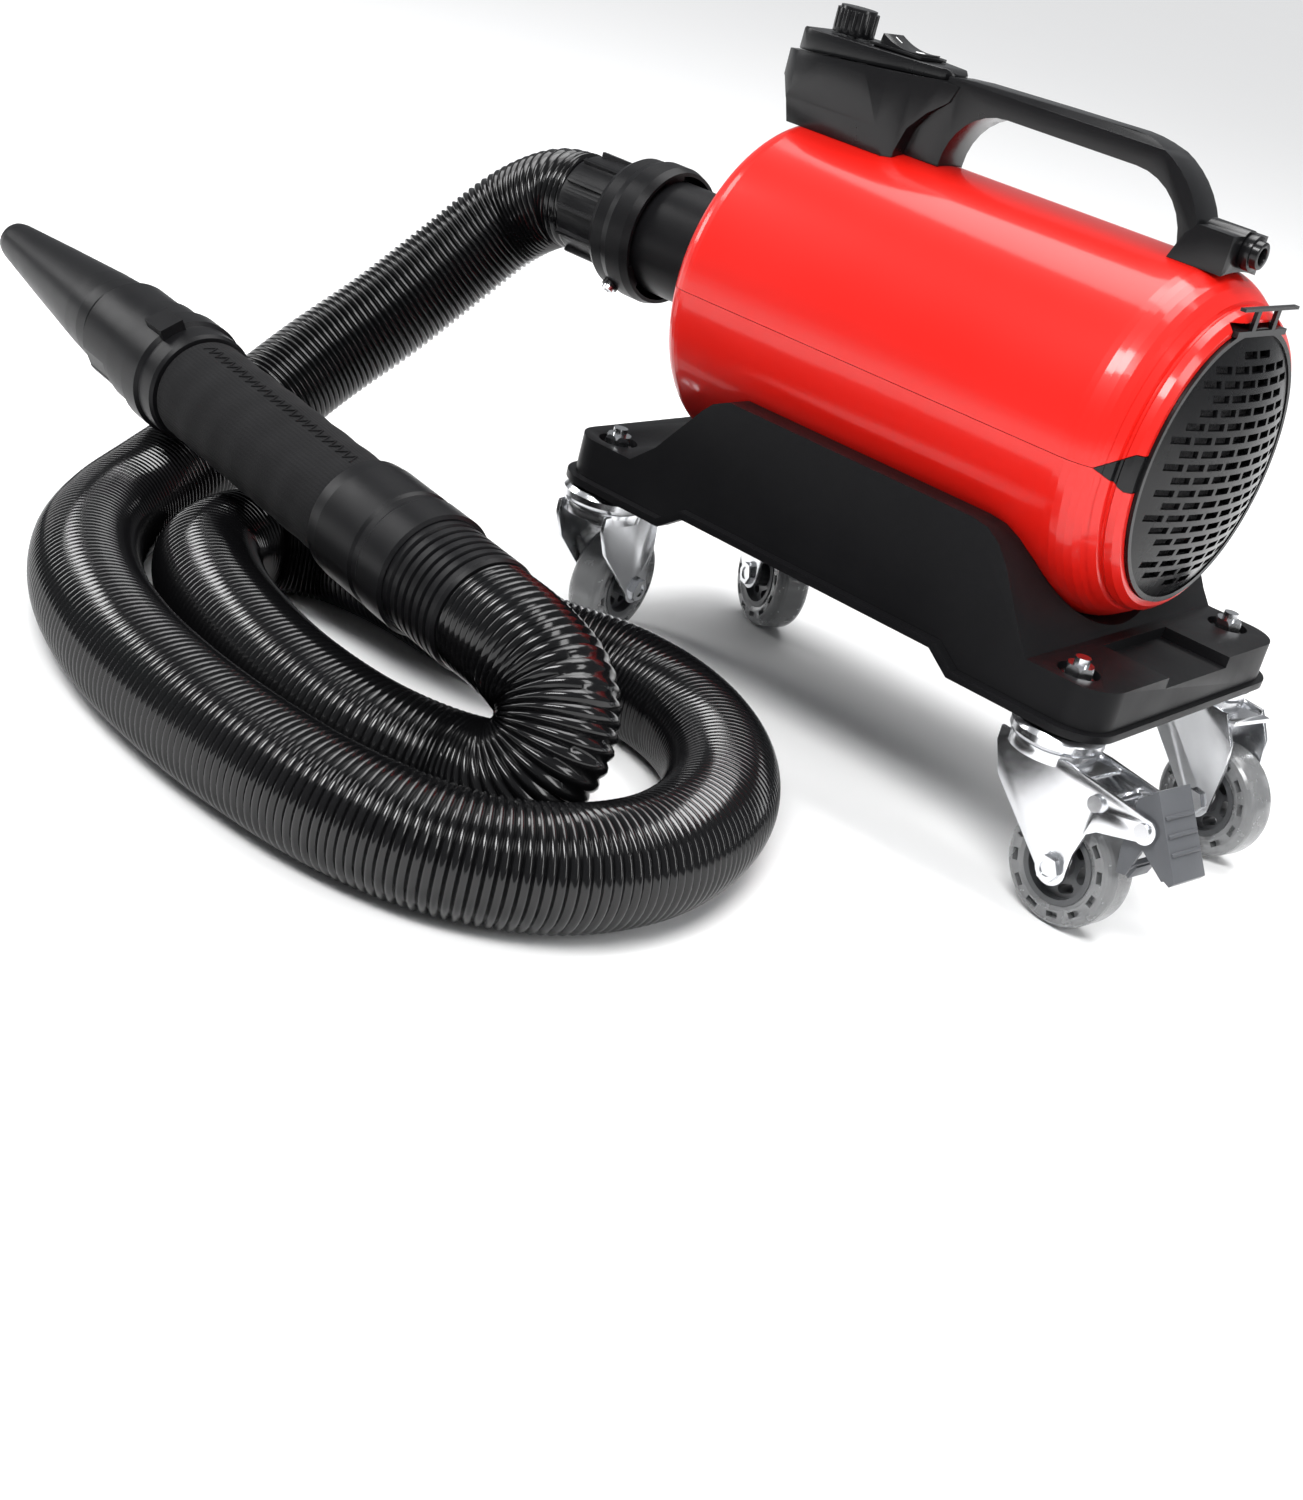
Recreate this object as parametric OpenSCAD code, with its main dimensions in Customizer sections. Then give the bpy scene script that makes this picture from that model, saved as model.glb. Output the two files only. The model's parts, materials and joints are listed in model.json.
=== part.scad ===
// Wheeled forced-air pet dryer: barrel blower on a caster deck, with its hose and hand wand.
// X runs along the barrel towards the air intake, Y points to the side away from the hose, Z is up.

/* [Barrel] */
// Outside diameter of the barrel
barrel_d = 185; // [184:0.5:186]
// Height of the barrel's axis above the floor
axis_z = 217; // [216:0.5:218]
// Wall thickness of the two barrel halves
shell_t = 2.5; // [2:0.1:3]
// Radius of the rounded edge at the outlet end
end_round = 14; // [10:1:16]
// Gap between the two halves at the seam
seam_gap = 0.3; // [0.2:0.1:0.5]

/* [Intake] */
// Radius of the intake grille
grille_r = 72; // [71:0.5:72]
// Height of the grille's dome
dome_h = 15; // [14:0.5:16]
// Distance between the grille's rows of slots
slot_pitch_z = 6.6; // [6.2:0.1:8]
// Distance between the slots in a row
slot_pitch_y = 15.5; // [15:0.5:20]

/* [Handle] */
// Width of the hand grip
grip_w = 24; // [20:1:26]
// Height of the grip's top above the floor
grip_top = 356; // [355:0.5:357]
// Knob diameter
knob_d = 23; // [20:1:28]
// Knob height
knob_h = 14; // [10:1:16]
// Travel of the power rocker between off and on
rocker_travel = 18; // [10:1:18]

/* [Deck] */
// Distance between caster stems along the deck
stem_dx = 307; // [306:1:308]
// Distance between caster stems across the deck
stem_dy = 163; // [162:1:164]
// Width of the deck's lip
deck_w = 210; // [208:1:212]
// Height of the deck's lip above the floor
deck_z = 96; // [95:0.5:97]

/* [Casters] */
// Wheel diameter
wheel_d = 63.5; // [62:0.5:64]
// Tyre width
tyre_w = 22.5; // [20:0.5:23]
// Distance from the swivel axis to the axle
trail = 31; // [29:1:31]
// Axle diameter
axle_d = 8; // [7:0.5:8]

/* [Hose and wand] */
// Outside diameter of the hose
hose_d = 58; // [56:1:58]
// Outside radius of the sleeve on the wand
sleeve_r = 28.5; // [28:0.5:29]
// Inside diameter of the nozzle's mouth
mouth_d = 19; // [16:1:20]

/* [Hidden] */
$fn = 64;

// The origin stands under the middle of the dryer, hose and wand not counted.
centre_x = 10.955;
centre_y = -1.813;

barrel_r = barrel_d / 2;
outlet_x = -139;
rim_x = 146;
curve_x = 112;
curve_r = 30;
neck_r = 33;
air_r = 28;
fit_gap = 0.05;
loose_gap = 0.4;

// Swivel headings of the casters as they stand, in the order of their node names.
caster_at = [[1, -1], [1, 1], [-1, 1], [-1, -1]];
caster_heading = [-7, -12, -28, 98];

// ---------------------------------------------------------------- helpers
function arc(c, r, a0, a1, n = 8) =
    [for (i = [0:n]) [c.x + r * cos(a0 + (a1 - a0) * i / n), c.y + r * sin(a0 + (a1 - a0) * i / n)]];

module at_frame() {
    translate([-centre_x, -centre_y, 0]) children();
}

// Turns a solid made about Z so that it lies along the barrel's axis, its base at x.
module on_axis(x = 0) {
    translate([x, 0, axis_z]) rotate([0, 90, 0]) children();
}

// Turns an outline drawn in X and Z into a slab that runs from y0 to y1.
module slab(y0, y1) {
    translate([0, y1, 0]) rotate([90, 0, 0]) linear_extrude(y1 - y0) children();
}

module ring(r1, r0, h) {
    difference() {
        cylinder(r = r1, h = h);
        translate([0, 0, -1]) cylinder(r = r0, h = h + 2);
    }
}

module rounded_rect(l, w, r) {
    square([l - 2 * r, w], center = true);
    square([l, w - 2 * r], center = true);
    for (sx = [-1, 1], sy = [-1, 1]) translate([sx * (l / 2 - r), sy * (w / 2 - r)]) circle(r);
}

module hex(flats, h) {
    cylinder(r = flats / sqrt(3), h = h, $fn = 6);
}

// ---------------------------------------------------------------- barrel
// Outline of the barrel as radius against length, with its inner wall.
rim_end = [[84.5, 133], [81.5, 136.4], [79.2, 137.2], [79.2, 138.6], [80, 139.6], [78.6, 143], [75.4, rim_x]];
shell_outer = concat(
    [[neck_r + 0.3, outlet_x]],
    arc([barrel_r - end_round, outlet_x + end_round], end_round, 270, 360, 8),
    arc([barrel_r - curve_r, curve_x], curve_r, 0, 45, 6),
    rim_end);
shell_inner = concat(
    [[grille_r + loose_gap, rim_x], [grille_r + loose_gap, 134], [80, 131]],
    arc([barrel_r - curve_r, curve_x], curve_r - shell_t, 35, 0, 5),
    arc([barrel_r - end_round, outlet_x + end_round], end_round - shell_t, 360, 270, 8),
    [[neck_r + 0.3, outlet_x + shell_t]]);

module barrel_shell() {
    on_axis() rotate_extrude($fn = 96) polygon(concat(shell_outer, shell_inner));
}

module half_space(sign) {
    translate([0, 0, axis_z + sign * (150 + seam_gap / 2)]) cube([400, 300, 300], center = true);
}

// Pointed notch at the seam on each side, which the grille's tabs fill.
tab_tip = 129;
tab_half = 11;
module tab_outline(grow) {
    polygon([[tab_tip - grow * 1.6, 0], [rim_x - 3, tab_half + grow], [rim_x + 20, tab_half + grow],
        [rim_x + 20, -7 - grow], [rim_x - 3, -7 - grow]]);
}
module tab_blocks(grow, y0, y1) {
    for (s = [-1, 1]) translate([0, 0, axis_z])
        slab(min(s * y0, s * y1), max(s * y0, s * y1)) tab_outline(grow);
}

// Bolt places under the barrel and screw places at the outlet and the handle.
deck_bolt_x = 62;
deck_bolt_y = 28;
spigot_screw_r = 41;
handle_screw_x = [-98, 104];

module shell_cuts() {
    tab_blocks(loose_gap, 60, 100);
    for (sx = [-1, 1], sy = [-1, 1])
        translate([sx * deck_bolt_x, sy * deck_bolt_y, axis_z - barrel_r - 1]) cylinder(r = 2.55, h = 20);
    for (a = [45:90:315]) on_axis(outlet_x + 1)
        rotate([0, 0, a]) translate([spigot_screw_r, 0, 0]) cylinder(r = 1.55, h = 10);
    for (x = handle_screw_x) translate([x, 0, axis_z + 80]) cylinder(r = 2.05, h = 20);
    translate([wire_x, 0, axis_z + 80]) cylinder(r = 6, h = 20);
}

module upper_shell() {
    color([0.86, 0.05, 0.03]) at_frame() difference() {
        intersection() {
            barrel_shell();
            half_space(1);
        }
        shell_cuts();
        lip_cut();
    }
}

module lower_shell() {
    color([0.80, 0.04, 0.03]) at_frame() difference() {
        intersection() {
            barrel_shell();
            half_space(-1);
        }
        shell_cuts();
    }
}

// ---------------------------------------------------------------- outlet
spigot_end = -226;
module outlet_spigot() {
    color([0.09, 0.09, 0.1]) at_frame() {
        difference() {
            union() {
                on_axis(spigot_end) cylinder(r = neck_r, h = outlet_x + shell_t - spigot_end + 3);
                on_axis(outlet_x + shell_t + 0.1) cylinder(r = 46, h = 3);
            }
            on_axis(spigot_end - 1) cylinder(r = air_r, h = 120);
            for (a = [45:90:315]) on_axis(outlet_x)
                rotate([0, 0, a]) translate([spigot_screw_r, 0, 0]) cylinder(r = 1.55, h = 12);
        }
        for (a = [-60, 60, 180]) on_axis(-221) rotate([0, 0, a]) rotate_extrude(angle = 24)
            translate([neck_r - 0.5, 0]) square([3.3, 6]);
    }
}

// ---------------------------------------------------------------- intake
cap_r = (grille_r * grille_r + dome_h * dome_h) / (2 * dome_h);
grille_t = 2.4;
slot_len = 12.6;
slot_h = 3.6;
slot_rows = 9;
slot_field_r = 64;
lip_half = 27;
pull_half = 30;

module lip_cut() {
    translate([136, -lip_half - loose_gap, axis_z + grille_r - 4.5])
        cube([20, 2 * (lip_half + loose_gap), 6.4]);
}

module dome(r) {
    translate([rim_x + dome_h - cap_r, 0, axis_z]) sphere(r = r, $fn = 128);
}

module slots() {
    for (row = [-slot_rows:slot_rows]) {
        z = row * slot_pitch_z;
        shift = (row % 2 == 0) ? 0 : 0.5;
        for (i = [-5:4]) {
            y = (i + shift) * slot_pitch_y;
            if (norm([abs(y) + slot_len / 2, abs(z) + slot_h / 2]) < slot_field_r + 3)
                translate([rim_x - 6, y - slot_len / 2, axis_z + z - slot_h / 2])
                    cube([30, slot_len, slot_h]);
        }
    }
}

module intake_grille() {
    color([0.07, 0.07, 0.08]) at_frame() {
        difference() {
            union() {
                difference() {
                    intersection() {
                        dome(cap_r);
                        on_axis(120) cylinder(r = grille_r, h = 60);
                    }
                    dome(cap_r - grille_t);
                    on_axis(100) cylinder(r = grille_r - 4, h = 30);
                }
                on_axis(122) ring(grille_r, grille_r - 2.6, rim_x - 120);
                difference() {
                    intersection() {
                        tab_blocks(0, 68, 100);
                        on_axis() rotate_extrude() polygon(concat([[grille_r - 2, 100], [grille_r - 2, rim_x]],
                            [for (i = [len(shell_outer) - 1:-1:9]) shell_outer[i] + [0.3, 0]]));
                    }
                    on_axis(100) cylinder(r = grille_r - 2, h = 60);
                }
                translate([138, -lip_half, axis_z + grille_r - 4]) cube([11, 2 * lip_half, 3]);
                for (y = [-13, 9]) translate([147, y, axis_z + grille_r - 4]) cube([2, 4, 14]);
                translate([147, -pull_half, axis_z + grille_r + 9]) cube([3, 2 * pull_half, 1.6]);
            }
            slots();
        }
    }
}

module filter_foam() {
    color([0.2, 0.2, 0.21]) at_frame() on_axis(124) cylinder(r = grille_r - 2.9, h = 6);
}

// ---------------------------------------------------------------- motor and fans
shaft_r = 4;
casing_r = 62;
fan_x0 = -66;
stator_x0 = 22;
stator_len = 40;

module mount_rings() {
    color([0.1, 0.1, 0.1]) at_frame() for (x = [-48, -20]) on_axis(x)
        ring(barrel_r - shell_t - 0.2, casing_r + 0.1, 8);
}

module fan_casing() {
    color([0.72, 0.72, 0.74]) at_frame() difference() {
        on_axis(fan_x0) cylinder(r = casing_r, h = 64);
        on_axis(fan_x0 + 2) cylinder(r = casing_r - 2, h = 60);
        on_axis(fan_x0 - 1) cylinder(r = air_r, h = 10);
        on_axis(fan_x0 + 50) cylinder(r = 22, h = 30);
    }
}

module fan_impellers() {
    color([0.8, 0.8, 0.82]) at_frame() for (x = [-58, -34]) on_axis(x) {
        ring(54, shaft_r, 1.6);
        for (a = [0:45:315]) rotate([0, 0, a]) translate([14, 0, 1.5]) rotate([0, 0, 25])
            cube([36, 1.6, 12]);
        ring(10, shaft_r, 14);
    }
}

module motor_stator() {
    // A ring of laminations; the two wide slots leave room for the field windings.
    color([0.45, 0.46, 0.48]) at_frame() on_axis(stator_x0) difference() {
        ring(40, 25.5, stator_len);
        for (s = [-1, 1]) translate([0, s * 28, -1]) cylinder(r = 8, h = stator_len + 2);
    }
}

module armature() {
    color([0.6, 0.35, 0.15]) at_frame() on_axis(stator_x0 + 1) ring(24.8, shaft_r, stator_len - 2);
}

module commutator() {
    color([0.75, 0.45, 0.2]) at_frame() on_axis(66) difference() {
        ring(12, shaft_r, 14);
        for (a = [0:30:330]) rotate([0, 0, a]) translate([10.8, -0.3, -1]) cube([3, 0.6, 16]);
    }
}

module motor_shaft() {
    color([0.75, 0.76, 0.78]) at_frame() on_axis(-64) cylinder(r = shaft_r, h = 164);
}

module bracket(x, outer) {
    on_axis(x) {
        ring(13.5, 11.05, 8);
        difference() {
            ring(outer, 13, 3);
            for (a = [0:90:270]) rotate([0, 0, a + 45]) translate([outer * 0.6, 0, -1])
                cylinder(r = outer * 0.18, h = 6);
        }
    }
}

module front_bracket() {
    color([0.78, 0.78, 0.8]) at_frame() {
        bracket(86, 40);
        for (s = [-1, 1]) translate([stator_x0 + stator_len + 0.1, -4, axis_z + s * 35 - 3])
            cube([24, 8, 6]);
    }
}

module rear_bracket() {
    color([0.78, 0.78, 0.8]) at_frame() {
        bracket(0, 40);
        for (s = [-1, 1]) translate([3, -4, axis_z + s * 35 - 3]) cube([stator_x0 - 3.1, 8, 6]);
    }
}

module motor_bearings() {
    color([0.85, 0.86, 0.88]) at_frame() for (x = [0.5, 86.5]) on_axis(x)
        ring(11, shaft_r + fit_gap, 7);
}

module carbon_brushes() {
    color([0.15, 0.15, 0.16]) at_frame() for (s = [-1, 1])
        translate([69, s * 21 - 8.6, axis_z - 3]) cube([8, 17.2, 6]);
}

module foam_liner() {
    color([0.24, 0.24, 0.25]) at_frame() difference() {
        on_axis(-2) ring(barrel_r - shell_t - 0.2, barrel_r - shell_t - 10, 100);
        for (sy = [-1, 1]) translate([deck_bolt_x, sy * deck_bolt_y, axis_z - barrel_r]) cylinder(r = 6, h = 20);
    }
}

// ---------------------------------------------------------------- screws
module pan_screw(r, head_r, head_h, length) {
    cylinder(r = r, h = length);
    difference() {
        translate([0, 0, -head_h]) cylinder(r = head_r, h = head_h);
        for (a = [0, 90]) rotate([0, 0, a]) translate([-head_r * 0.6, -0.4, -head_h - 1])
            cube([head_r * 1.2, 0.8, 2]);
    }
}

module casing_screws() {
    color([0.7, 0.7, 0.72]) at_frame() {
        for (a = [45:90:315]) on_axis(outlet_x + shell_t + 3.15) rotate([0, 0, a])
            translate([spigot_screw_r, 0, 0]) rotate([180, 0, 0]) pan_screw(1.5, 3, 2, 4.4);
        for (x = handle_screw_x) translate([x, 0, axis_z + barrel_r - shell_t - 0.1])
            pan_screw(2, 4, 2.5, 7);
    }
}

// ---------------------------------------------------------------- handle
pod_tip = -152;
pod_floor = 314;
wire_x = -118;
gap_top = 342;
bend_c = [55, 304];
bend_r = grip_top + 1 - bend_c.y;
gland_z = 320;

// Side outline of the grip, from the pod over the hand gap to the rear foot.
grip_side = concat(
    [[-80, 300], [-80, 351], [-40, grip_top - 1.5], [10, grip_top]],
    arc(bend_c, bend_r, 90, 4, 12),
    [[bend_c.x + bend_r, 296], [97, 296]],
    arc([63, gap_top - 34], 34, 0, 90, 8),
    arc([-14, gap_top - 32], 32, 90, 180, 8),
    [[-46, 300]]);

// Side outline of the control pod.
pod_side = [[-137, 280], [-137, 305], [-140, 318], [-147, 328], [pod_tip, 332], [pod_tip, 338],
    [-149.5, 342.2], [-130, 344], [-60, 350], [-46, 350], [-49, 341], [-58, 333], [-65, 323], [-68, 310],
    [-68, 280]];

// Plan outline of the control pod: a blunt nose, straight cheeks and a waist that runs into the grip.
function mirror_y(p) = concat(p, [for (i = [len(p) - 1:-1:0]) [p[i].x, -p[i].y]]);
pod_plan = mirror_y([[pod_tip, 17], [-148, 23], [-138, 28.5], [-120, 31], [-94, 31], [-80, 28],
    [-68, 22.5], [-56, 16], [-44, grip_w / 2]]);
// End view of the pod: it narrows from the rim down to the barrel.
pod_front = mirror_y([[280, 25], [305, 25], [320, 27.5], [329, 31], [332, 34], [380, 34]]);
pod_room = mirror_y([[-133, 15], [-128, 21], [-120, 23.5], [-90, 23.5], [-80, 20.5], [-72, 16]]);

module grip_section() {
    half = grip_w / 2;
    intersection() {
        slab(-half, half) polygon(grip_side);
        // Bevels along the top edges of the straight grip.
        union() {
            translate([-100, -half, 250]) cube([260, grip_w, grip_top - 253]);
            slab(-half + 4, half - 4) polygon([[-100, 290], [160, 290], [160, 400], [-100, 400]]);
            translate([-100, 0, grip_top - 7]) rotate([45, 0, 0]) translate([0, -half + 1, -half + 1])
                cube([260, grip_w - 2, grip_w - 2]);
        }
    }
}

module handle() {
    color([0.06, 0.06, 0.065]) at_frame() difference() {
        union() {
            grip_section();
            intersection() {
                slab(-40, 40) polygon(pod_side);
                translate([0, 0, 270]) linear_extrude(100) polygon(pod_plan);
                translate([-160, 0, 0]) rotate([90, 0, 90]) linear_extrude(120)
                    polygon([for (q = pod_front) [q.y, q.x]]);
            }
            slab(-19, 19) polygon([[97, 290], [97, 308], [102, 321], [108, 327], [127, 327], [127, 290]]);
            translate([106, 0, gland_z]) rotate([0, 90, 0]) cylinder(r = 10, h = 21);
        }
        on_axis(-200) cylinder(r = barrel_r + 0.1, h = 400);
        intersection() {
            slab(-40, 40) polygon([[-133, pod_floor], [-133, 340.5], [-66, 346.2], [-66, 340],
                [-72, 330], [-72, pod_floor]]);
            translate([0, 0, 290]) linear_extrude(70) polygon(pod_room);
        }
        translate([-143, -17, 330]) cube([70, 34, 20]);
        // The seat of the control plate, cut into the front of the grip.
        slab(-30, 30) polygon([[-150, 342.7], [-130, 344.15], [-60, 350.15], [-53.9, 350.9], [-53.9, 370],
            [-150, 370]]);
        translate([112, 0, gland_z]) rotate([0, 90, 0]) cylinder(r = 8.05, h = 30);
        for (x = handle_screw_x) translate([x, 0, 290]) cylinder(r = 2.05, h = 26);
        translate([wire_x, 0, 290]) cylinder(r = 5, h = 30);
    }
}

plate_top = 355;
knob_x = -127;
rocker_x = -90;
rocker_pivot_z = 354.5;
module switch_plate() {
    color([0.07, 0.07, 0.075]) at_frame() difference() {
        intersection() {
            slab(-30, 30) polygon([[-149, 342.9], [-146, plate_top - 1.5], [-144, plate_top], [-58, plate_top + 1],
                [-54, plate_top - 1], [-54, 351], [-60, 350.25], [-130, 344.25]]);
            translate([0, 0, 330]) linear_extrude(50) polygon(mirror_y([[-149, 14], [-145, 19], [-138, 22.5],
                [-100, 22.5], [-74, 17], [-60, 12], [-55, 7], [-54, 3]]));
        }
        translate([rocker_x - 15.2, -11.2, 330]) cube([30.4, 22.4, 50]);
        translate([knob_x, 0, 330]) cylinder(r = 3.6, h = 40);
        translate([-143, -17, 330]) cube([34, 34, 22.5]);
        translate([-76, -9, 330]) cube([12, 18, 22.5]);
    }
}

// Frame and housing of the power switch; its pin carries the rocker.
module rocker_bezel() {
    color([0.05, 0.05, 0.055]) at_frame() translate([rocker_x, 0, 0]) {
        difference() {
            union() {
                translate([-16.5, -12.5, 356.1]) cube([33, 25, 1.6]);
                translate([-15, -11, 336]) cube([30, 22, 21]);
            }
            translate([-14.1, -9.8, 344]) cube([28.2, 19.6, 30]);
        }
        translate([0, 10.2, rocker_pivot_z]) rotate([90, 0, 0]) cylinder(r = 1.5, h = 20.4);
    }
}

module power_rocker() {
    color([0.05, 0.05, 0.055]) at_frame() translate([rocker_x, 0, rocker_pivot_z])
        rotate([0, rocker_travel / 2, 0]) difference() {
            slab(-9.4, 9.4) polygon(concat([[-13, 6.4], [-13, 2], [-6, -5], [6, -5], [13, 2], [13, 6.4]],
                arc([0, 42], 37.9, 290, 250, 10)));
            translate([0, 12, 0]) rotate([90, 0, 0]) cylinder(r = 1.5 + fit_gap, h = 24);
        }
}

module speed_knob() {
    color([0.05, 0.05, 0.055]) at_frame() translate([knob_x, 0, 370 - knob_h]) difference() {
        union() {
            cylinder(r = knob_d / 2, h = knob_h - 1.5);
            cylinder(r = knob_d / 2 - 1.5, h = knob_h);
        }
        for (a = [0:20:340]) rotate([0, 0, a]) translate([knob_d / 2 + 0.5, 0, 2.5]) cylinder(r = 1.3, h = 20);
        translate([0, 0, -1]) cylinder(r = 3, h = 10);
    }
}

module knob_spindle() {
    color([0.7, 0.7, 0.72]) at_frame() translate([knob_x, 0, 339]) cylinder(r = 2.98, h = 25.5);
}

module speed_control() {
    color([0.3, 0.32, 0.34]) at_frame() translate([knob_x, 0, 0]) difference() {
        union() {
            translate([-11, -12, 330]) cube([22, 24, 8]);
            translate([0, 0, 337]) cylinder(r = 3.55, h = 18.5);
            translate([0, 0, 350]) ring(6.5, 3.5, 2.2);
        }
        translate([0, 0, 338.7]) cylinder(r = 2.98 + fit_gap, h = 30);
    }
}

board_z = 320;
module control_board() {
    color([0.1, 0.35, 0.16]) at_frame() {
        translate([-129, -15, board_z]) cube([53, 30, 1.6]);
        translate([-126, -12, board_z + 1.6]) cube([18, 8, 6]);
        translate([-100, 2, board_z + 1.6]) cube([14, 10, 8]);
        for (i = [0:1]) translate([-122 + 10 * i, 9, board_z + 1.6]) cylinder(r = 3, h = 6);
    }
}

module cable_gland() {
    color([0.05, 0.05, 0.055]) at_frame() translate([112, 0, gland_z]) rotate([0, 90, 0]) difference() {
        union() {
            cylinder(r = 8, h = 18);
            translate([0, 0, 15.2]) cylinder(r = 8.8, h = 5);
            translate([0, 0, 15.2]) cylinder(r = 6.8, h = 8.5);
        }
        translate([0, 0, -1]) cylinder(r = 4.1, h = 30);
    }
}

// ---------------------------------------------------------------- deck
stem_x = stem_dx / 2;
stem_y = stem_dy / 2;
deck_len = 358;
deck_mid = 2;
pad_z = 121.5;
arch_rise = 10;
channel_half = 34;
channel_deep = 6;

// Side outline of the deck: two end pads and the raised cradle between them.
deck_side = [[-177, deck_z], [-177, pad_z], [-129, pad_z], [-114, 134], [-90, 164], [-84, 170], [-74, 174.5],
    [82, 174.5], [92, 173], [100, 168], [108, 159], [127, 129], [133, pad_z], [181, pad_z],
    [181, deck_z], [98, deck_z], [84, deck_z + arch_rise], [-82, deck_z + arch_rise], [-96, deck_z]];
deck_hollow = [[-173, deck_z - 1], [-173, pad_z - 4], [-127, pad_z - 4], [-111, 133], [-87, 162], [-73, 170.5],
    [82, 170.5], [97, 165], [105, 157], [124, 127], [131, pad_z - 4], [177, pad_z - 4], [177, deck_z - 1],
    [98, deck_z - 1], [84, deck_z + 9], [-82, deck_z + 9], [-96, deck_z - 1]];
lip_side = [[-178, deck_z], [-178, deck_z + 4], [-98, deck_z + 4], [-84, deck_z + arch_rise + 4],
    [86, deck_z + arch_rise + 4], [100, deck_z + 4], [182, deck_z + 4], [182, deck_z], [98, deck_z],
    [84, deck_z + arch_rise], [-82, deck_z + arch_rise], [-96, deck_z]];

module at_stems() {
    for (c = caster_at) translate([c.x * stem_x, c.y * stem_y, 0]) children();
}

module deck() {
    wall_y = deck_w / 2 - 6;
    color([0.07, 0.07, 0.075]) at_frame() difference() {
        union() {
            difference() {
                intersection() {
                    slab(-wall_y, wall_y) polygon(deck_side);
                    translate([deck_mid, 0, 50]) linear_extrude(200)
                        rounded_rect(deck_len - 4, 2 * wall_y, 20);
                }
                // Hollow underside, which leaves a wall all round and a cradle under the barrel.
                difference() {
                    intersection() {
                        slab(-wall_y + 4, wall_y - 4) polygon(deck_hollow);
                        translate([deck_mid, 0, 50]) linear_extrude(200)
                            rounded_rect(deck_len - 12, 2 * wall_y - 8, 16);
                    }
                    on_axis(-130) cylinder(r = barrel_r + 4.5, h = 262);
                    translate([136, -channel_half - 4, pad_z - channel_deep - 4])
                        cube([60, 2 * channel_half + 8, 20]);
                }
            }
            intersection() {
                slab(-deck_w / 2, deck_w / 2) polygon(lip_side);
                translate([deck_mid, 0, 50]) linear_extrude(200) difference() {
                    rounded_rect(deck_len + 2, deck_w, 24);
                    rounded_rect(deck_len - 14, 2 * wall_y - 8, 16);
                }
            }
            at_stems() translate([0, 0, deck_z]) cylinder(r = 14, h = pad_z - deck_z - 4);
            for (sx = [-1, 1], sy = [-1, 1]) translate([sx * deck_bolt_x, sy * deck_bolt_y, deck_z + 12])
                cylinder(r = 8, h = 16);
        }
        on_axis(-200) cylinder(r = barrel_r + 0.2, h = 420);
        at_stems() {
            translate([0, 0, deck_z - 1]) cylinder(r = 4.05, h = 40);
            translate([0, 0, pad_z - 4.5]) cylinder(r = 11, h = 20);
        }
        for (sx = [-1, 1], sy = [-1, 1]) translate([sx * deck_bolt_x, sy * deck_bolt_y, 90])
            cylinder(r = 2.55, h = 60);
        // Channel between the two intake-end pads.
        translate([140, -channel_half, pad_z - channel_deep]) cube([60, 2 * channel_half, 20]);
    }
}

module deck_screws() {
    color([0.7, 0.7, 0.72]) at_frame() for (sx = [-1, 1], sy = [-1, 1])
        translate([sx * deck_bolt_x, sy * deck_bolt_y, deck_z + 11.9]) {
            pan_screw(2.5, 5, 2.5, 28);
            translate([0, 0, 24.9]) difference() {
                hex(8, 4);
                translate([0, 0, -1]) cylinder(r = 2.4, h = 6);
            }
        }
}

// ---------------------------------------------------------------- casters
wheel_r = wheel_d / 2;
axle_r = axle_d / 2;
plate_in = 14.4;
plate_t = 2.2;
hub_r = 20;
window_r = 23.4;
cup_r = 24;
fork_top = 85.4;

module caster_cups() {
    color([0.75, 0.76, 0.78]) at_frame() at_stems() translate([0, 0, 85.7]) rotate_extrude()
        polygon([[4.05, 0], [cup_r - 1.5, 0], [cup_r, 2], [cup_r, 5.5], [cup_r - 2, 8], [17, 9.2], [16, 10.2], [4.05, 10.2]]);
}

module caster_stems() {
    color([0.78, 0.79, 0.8]) at_frame() at_stems() {
        translate([0, 0, 76]) cylinder(r = 4, h = 53);
        translate([0, 0, 73]) cylinder(r = 8, h = 4);
    }
}

module stem_nuts() {
    color([0.78, 0.79, 0.8]) at_frame() at_stems() {
        translate([0, 0, pad_z - 4.4]) ring(8.5, 4.05, 1.6);
        translate([0, 0, pad_z - 2.7]) difference() {
            intersection() {
                hex(13, 6.4);
                cylinder(r1 = 9, r2 = 6.6, h = 7);
            }
            translate([0, 0, -1]) cylinder(r = 4.05, h = 9);
        }
    }
}

module at_caster(i) {
    translate([caster_at[i].x * stem_x, caster_at[i].y * stem_y, 0]) rotate([0, 0, caster_heading[i]]) children();
}

brake_pivot = [71, 74];
module fork_plate_outline(braked) {
    difference() {
        union() {
            polygon(braked
                ? [[-21, 84], [-21, 76], [-14, 60], [trail - 8.5, 29], [trail + 8.8, 29], [trail + 9, 44],
                    [trail + 12, 57], [trail + 17, 61], [brake_pivot.x - 2, 67.6], [brake_pivot.x + 2, 80.2],
                    [24, 84]]
                : [[-21, 84], [-21, 76], [-12, 60], [trail - 8.5, 29], [trail + 8.8, 29], [trail + 10, 56],
                    [trail + 8, 70], [30, 84]]);
            translate([trail, wheel_r]) circle(9);
            if (braked) translate(brake_pivot) circle(6.5);
        }
        translate([trail, wheel_r]) circle(axle_r + fit_gap);
        if (braked) {
            translate(brake_pivot) circle(2.5 + fit_gap);
            translate([43, 74]) circle(2.5 + fit_gap);
        }
    }
}

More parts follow.
